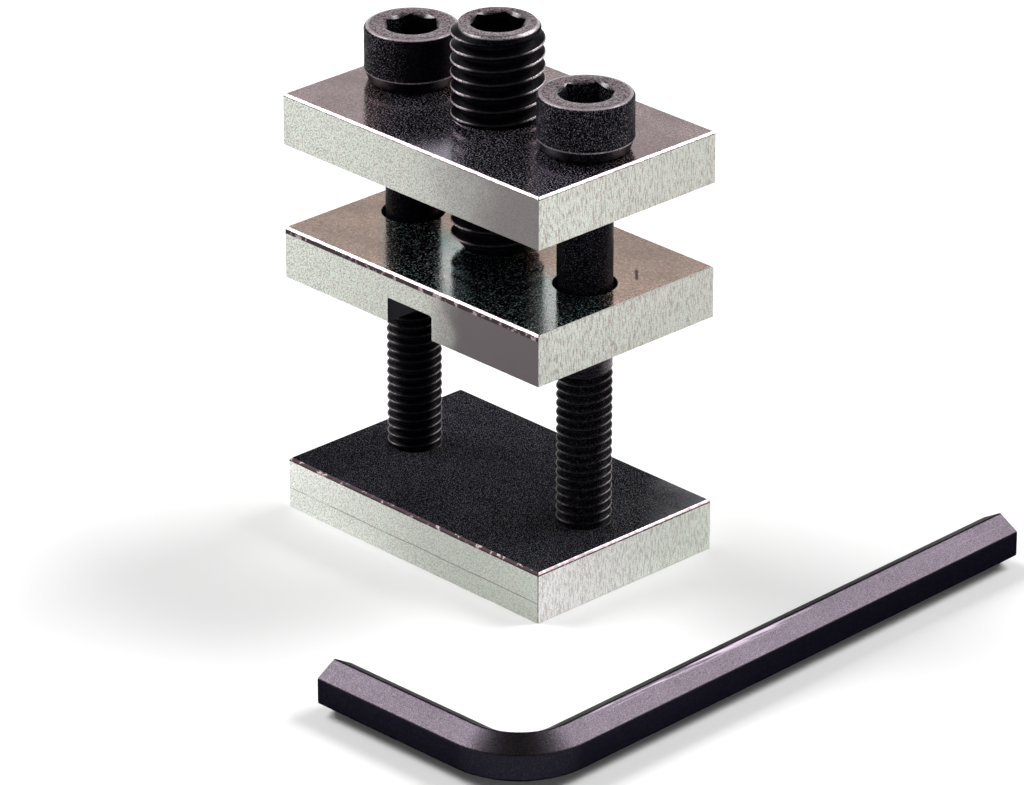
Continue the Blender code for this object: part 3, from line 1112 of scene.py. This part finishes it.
class CHAINPRESS_OT_top_plate(PlateOperator, Operator):
    """Top plate, drilled for the cap screws and tapped for the press screw"""

    bl_idname = "chainpress.top_plate"
    bl_label = "Top plate"

    def execute(self, context):
        plates, screws = context.scene.chain_plates, context.scene.chain_screws
        low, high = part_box("top_plate")
        cutters = self.plain_holes(low, high, plates.clear_hole, plates.hole_chamfer)
        cutters += tapped_hole(
            (0, 0), low.z, high.z, screws.press_pitch, screws.press_phase,
            screws.press_minor + screws.thread_fit, screws.press_major + screws.thread_fit,
            plates.hole_chamfer,
        )
        self.make("top_plate", "yoke_plate", "top_plate", cutters, {
            "face": plates.top_colour, "reflection_tint": plates.top_reflection_tint, "sparkle": 0.54, "painted_dark_reflection": (0.85, 1, 18),
            "edge_shade": 0.35, "end_share": 1.0,
        })
        return {"FINISHED"}


class CHAINPRESS_OT_cap_screws(Operator):
    """The two socket cap screws that guide the plates"""

    bl_idname = "chainpress.cap_screws"
    bl_label = "Cap screws"

    def execute(self, context):
        settings = context.scene.chain_screws
        for side, turn in (("left", settings.left_turn), ("right", settings.right_turn)):
            node = side + "_cap_screw"
            obj = cap_screw(node, turn, settings)
            low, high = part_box(node)
            land = high.z - settings.head_height + settings.foot_height
            crown = (high.x - low.x) / 2 - settings.rim_rounding
            oxide = black_oxide(
                side + "_cap_oxide", settings, high.z, crown, settings.cap_major, land, PAINTED_LIGHT_ACROSS[side]
            )
            settle(obj, node, node, oxide)
        return {"FINISHED"}


class CHAINPRESS_OT_press_screw(Operator):
    """The headless screw that drives the press plate down"""

    bl_idname = "chainpress.press_screw"
    bl_label = "Press screw"

    def execute(self, context):
        settings = context.scene.chain_screws
        obj = press_screw("press_screw", settings)
        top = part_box("press_screw")[1].z
        oxide = black_oxide("press_oxide", settings, top, settings.press_top, settings.press_major)
        settle(obj, "press_screw", "press_screw", oxide)
        return {"FINISHED"}


class CHAINPRESS_OT_hex_key(Operator):
    """The hex key that turns the press screw"""

    bl_idname = "chainpress.hex_key"
    bl_label = "Hex key"

    def execute(self, context):
        settings = context.scene.chain_key
        obj = hex_key("hex_key", settings)
        ridge = max(vertex.co.z for vertex in obj.data.vertices)
        settle(obj, "hex_key", "hex_key", key_finish("key_steel", settings, ridge))
        return {"FINISHED"}


BUILDERS = (
    CHAINPRESS_OT_stage,
    CHAINPRESS_OT_base_plate,
    CHAINPRESS_OT_press_plate,
    CHAINPRESS_OT_top_plate,
    CHAINPRESS_OT_cap_screws,
    CHAINPRESS_OT_press_screw,
    CHAINPRESS_OT_hex_key,
)


class CHAINPRESS_PT_panel(Panel):
    """Lists the tool's pieces in the sidebar"""

    bl_idname = "CHAINPRESS_PT_panel"
    bl_label = "Chain press tool"
    bl_space_type = "VIEW_3D"
    bl_region_type = "UI"
    bl_category = "Chain press"

    def draw(self, context):
        for builder in BUILDERS:
            self.layout.operator(builder.bl_idname)


SETTINGS = {
    "chain_plates": PlateSettings,
    "chain_screws": ScrewSettings,
    "chain_key": KeySettings,
    "chain_stage": StageSettings,
}


CLASSES = (*SETTINGS.values(), *BUILDERS, CHAINPRESS_PT_panel)


def register():
    for cls in CLASSES:
        bpy.utils.register_class(cls)
    for name, group in SETTINGS.items():
        setattr(bpy.types.Scene, name, PointerProperty(type=group))


def unregister():
    for name in SETTINGS:
        delattr(bpy.types.Scene, name)
    for cls in reversed(CLASSES):
        bpy.utils.unregister_class(cls)


def main():
    register()
    for builder in BUILDERS:
        group, name = builder.bl_idname.split(".")
        getattr(getattr(bpy.ops, group), name)()


if __name__ == "__main__":
    main()
